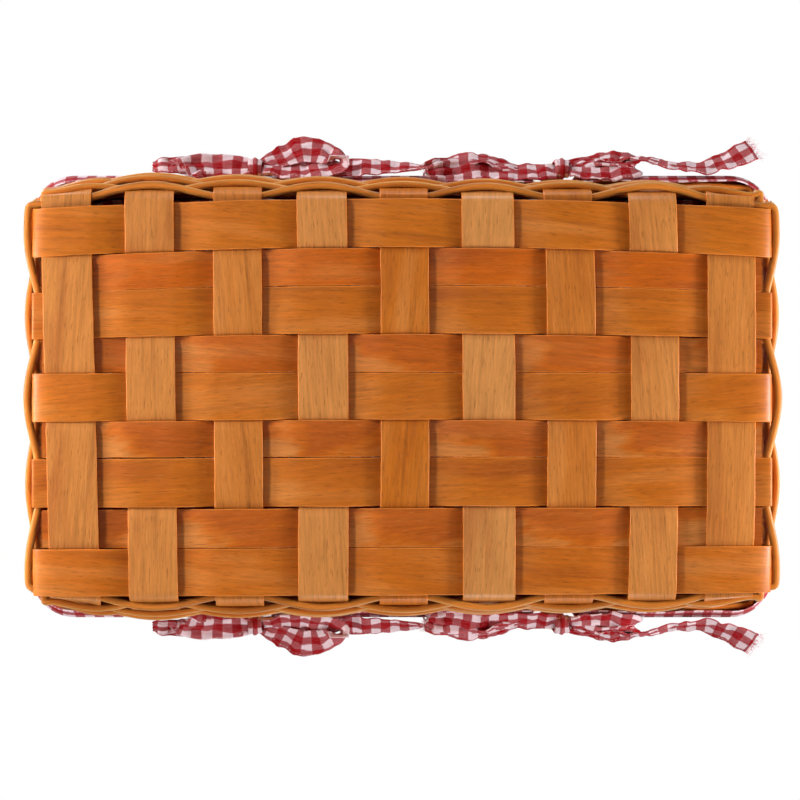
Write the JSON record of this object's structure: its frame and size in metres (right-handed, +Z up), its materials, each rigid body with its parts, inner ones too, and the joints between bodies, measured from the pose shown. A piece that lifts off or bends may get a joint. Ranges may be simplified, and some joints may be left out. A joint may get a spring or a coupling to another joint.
{
  "type": "picnic basket",
  "caption": "Rectangular picnic basket plaited from wood chips, with a checked cloth lining, tied bows and two bentwood swing handles.",
  "frame": {"origin": "on the surface the basket stands on, under the middle of its outline", "axes": "+X along the length, +Z up, the front long wall at -Y"},
  "size_m": [0.4154, 0.28, 0.3116],
  "materials": {
    "wood_chip": "honey-stained wood chip, satin",
    "rattan": "stained rattan, satin",
    "rim_wood": "stained bent wood",
    "handle_wood": "stained and lacquered bent wood",
    "gingham": "red and white checked cotton",
    "rivet_metal": "dull brass"
  },
  "bodies": {
    "basket": {"bow_back_left": "gingham", "bow_back_right": "gingham", "bow_front_left": "gingham", "bow_front_right": "gingham", "cross_splint_1": "wood_chip", "cross_splint_2": "wood_chip", "cross_splint_3": "wood_chip", "cross_splint_4": "wood_chip", "cross_splint_5": "wood_chip", "cross_splint_6": "wood_chip", "cross_splint_7": "wood_chip", "cross_splint_8": "wood_chip", "cross_splint_9": "wood_chip", "cuff_back": "gingham", "cuff_front": "gingham", "cuff_left": "gingham", "cuff_right": "gingham", "filler_splint_1": "wood_chip", "filler_splint_2": "wood_chip", "filler_splint_3": "wood_chip", "filler_splint_4": "wood_chip", "lining_floor": "gingham", "lining_wall": "gingham", "long_splint_1": "wood_chip", "long_splint_2": "wood_chip", "long_splint_3": "wood_chip", "long_splint_4": "wood_chip", "long_splint_5": "wood_chip", "lower_strand_1": "rattan", "lower_strand_2": "rattan", "lower_strand_3": "rattan", "lower_strand_4": "rattan", "lower_strand_5": "rattan", "lower_strand_6": "rattan", "pivot_pin_back_left": "rivet_metal", "pivot_pin_back_right": "rivet_metal", "pivot_pin_front_left": "rivet_metal", "pivot_pin_front_right": "rivet_metal", "pivot_spacer_back_left": "handle_wood", "pivot_spacer_back_right": "handle_wood", "pivot_spacer_front_left": "handle_wood", "pivot_spacer_front_right": "handle_wood", "rim_inner_hoop": "rim_wood", "rim_outer_hoop": "rim_wood", "rim_tack_1": "rivet_metal", "rim_tack_2": "rivet_metal", "rim_tack_3": "rivet_metal", "rim_tack_4": "rivet_metal", "rim_tack_5": "rivet_metal", "rim_tack_6": "rivet_metal", "rim_tack_7": "rivet_metal", "rim_tack_8": "rivet_metal", "upper_strand_1": "rattan", "upper_strand_2": "rattan", "wall_band_1": "wood_chip", "wall_band_2": "wood_chip", "wall_band_3": "wood_chip"},
    "left_handle": {"handle_left": "handle_wood"},
    "right_handle": {"handle_right": "handle_wood"}
  },
  "joints": [
    {"name": "left_handle_pivot", "type": "hinge", "parent": "basket", "child": "left_handle", "pos_m": [-0.085, 0, 0.167], "axis": [0, -1, 0], "range_deg": [0, 105]},
    {"name": "right_handle_pivot", "type": "hinge", "parent": "basket", "child": "right_handle", "pos_m": [0.085, 0, 0.167], "axis": [0, 1, 0], "range_deg": [0, 105]}
  ]
}
